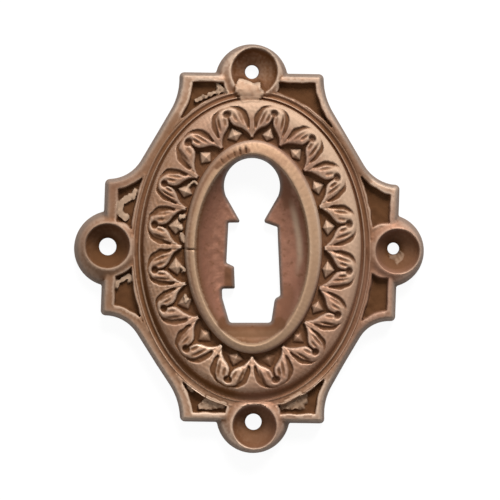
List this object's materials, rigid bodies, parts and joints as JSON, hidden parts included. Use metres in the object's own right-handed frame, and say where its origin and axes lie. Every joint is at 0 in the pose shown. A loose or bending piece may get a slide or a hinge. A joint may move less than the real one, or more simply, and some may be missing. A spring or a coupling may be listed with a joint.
{
  "type": "keyhole escutcheon",
  "caption": "Cast brass keyhole escutcheon: oval leaf-and-dart border round a dished keyhole, on a cartouche plate with cupped screw lugs and sunk corner panels",
  "frame": {"origin": "centre of the back, on the back plane; the plate lies on its back", "axes": "+Z out of the ornamented face, +Y up on the furniture towards the round of the keyhole, +X to the right seen from the front"},
  "size_m": [0.0512, 0.06, 0.0052],
  "materials": {
    "aged_brass": "satin"
  },
  "bodies": {
    "root": {"escutcheon_plate": "aged_brass"}
  },
  "joints": []
}
